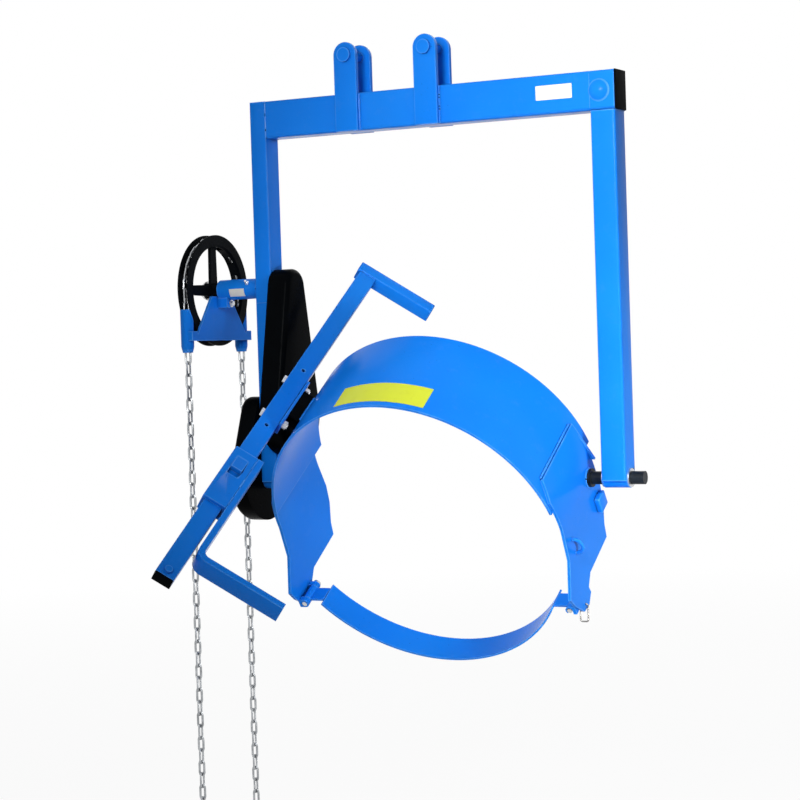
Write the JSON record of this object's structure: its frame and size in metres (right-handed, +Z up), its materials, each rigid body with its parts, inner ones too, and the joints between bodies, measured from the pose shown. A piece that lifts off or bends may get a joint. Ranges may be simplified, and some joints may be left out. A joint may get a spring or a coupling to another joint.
{
  "type": "drum lifter",
  "caption": "Below-hook drum lifter: a tube portal with a tilting saddle band, clamp arm and gate, turned by a hand chain wheel through guarded roller chains.",
  "frame": {"origin": "middle of the centre hook pin", "axes": "+Z up, +X along the beam away from the chain wheel, +Y to the back"},
  "size_m": [0.986, 0.9005, 1.6948],
  "materials": {
    "blue_paint": "gloss paint",
    "black_paint": "satin paint",
    "black_plastic": "moulded",
    "zinc_plate": "zinc plated",
    "oiled_steel": "oiled",
    "chain_steel": "galvanized",
    "bush_bronze": "sintered"
  },
  "bodies": {
    "frame": {"cross_beam": "blue_paint", "left_leg": "blue_paint", "right_leg": "blue_paint", "beam_end_cap": "black_plastic", "hook_lugs": "blue_paint", "centre_hook_pin": "blue_paint", "side_hook_pin": "blue_paint", "dome_bolt": "blue_paint", "right_bearing": "blue_paint", "left_bearing": "blue_paint", "trunnion_washers": "zinc_plate", "shaft_housing": "blue_paint", "housing_bushes": "bush_bronze", "jack_bush": "bush_bronze", "chain_guide": "blue_paint", "guard_bolt": "black_paint", "upper_guard": "black_paint", "upper_guard_back": "black_paint", "lower_guard": "black_paint", "lower_guard_back": "black_paint", "guard_posts": "oiled_steel", "guard_screws": "zinc_plate", "first_roller_chain": "oiled_steel", "second_roller_chain": "oiled_steel", "hand_chain": "chain_steel"},
    "wheel": {"chain_wheel": "black_paint", "wheel_shaft": "oiled_steel", "wheel_nut": "zinc_plate", "wheel_sprocket": "oiled_steel"},
    "jack": {"jackshaft": "oiled_steel", "jack_large_sprocket": "oiled_steel", "jack_small_sprocket": "oiled_steel"},
    "saddle": {"saddle_band": "blue_paint", "right_wing": "blue_paint", "left_wing": "blue_paint", "right_trunnion": "black_paint", "left_trunnion": "black_paint", "trunnion_sprocket": "oiled_steel", "wing_block": "blue_paint", "wing_eye": "blue_paint", "arm_plate": "blue_paint", "arm_standoff": "black_paint", "clamp_arm": "blue_paint", "arm_end_cap": "black_plastic", "far_hook": "blue_paint", "arm_bolts": "zinc_plate", "stop_bolt": "zinc_plate", "gate_hinge_pin": "zinc_plate"},
    "slider": {"clamp_sleeve": "blue_paint", "lid_hook": "blue_paint", "sleeve_latch": "blue_paint"},
    "gate": {"front_gate": "blue_paint", "latch_pin": "zinc_plate"},
    "clip": {"safety_clip": "zinc_plate"}
  },
  "joints": [
    {"name": "saddle_tilt", "type": "hinge", "parent": "frame", "child": "saddle", "pos_m": [0, 0, -0.855], "axis": [1, 0, 0], "continuous": true},
    {"name": "jack_spin", "type": "hinge", "parent": "frame", "child": "jack", "pos_m": [0, 0, -0.72], "axis": [1, 0, 0], "continuous": true},
    {"name": "wheel_spin", "type": "hinge", "parent": "frame", "child": "wheel", "pos_m": [0, 0, -0.459], "axis": [1, 0, 0], "continuous": true},
    {"name": "sleeve_slide", "type": "slide", "parent": "saddle", "child": "slider", "axis": [0, -0.8217, -0.5699], "range_m": [-0.1, 0.13]},
    {"name": "gate_swing", "type": "hinge", "parent": "saddle", "child": "gate", "pos_m": [-0.2928, -0.04567, -1.08746], "axis": [0, 0.8217, 0.5699], "range_deg": [0, 60]},
    {"name": "clip_swing", "type": "hinge", "parent": "saddle", "child": "clip", "pos_m": [0.3079, -0.03583, -1.09463], "axis": [1, 0, 0], "range_deg": [-40, 40]}
  ],
  "couplings": [
    {"joint": "jack_spin", "follows": "saddle_tilt", "ratio": 3},
    {"joint": "wheel_spin", "follows": "saddle_tilt", "ratio": 9}
  ]
}
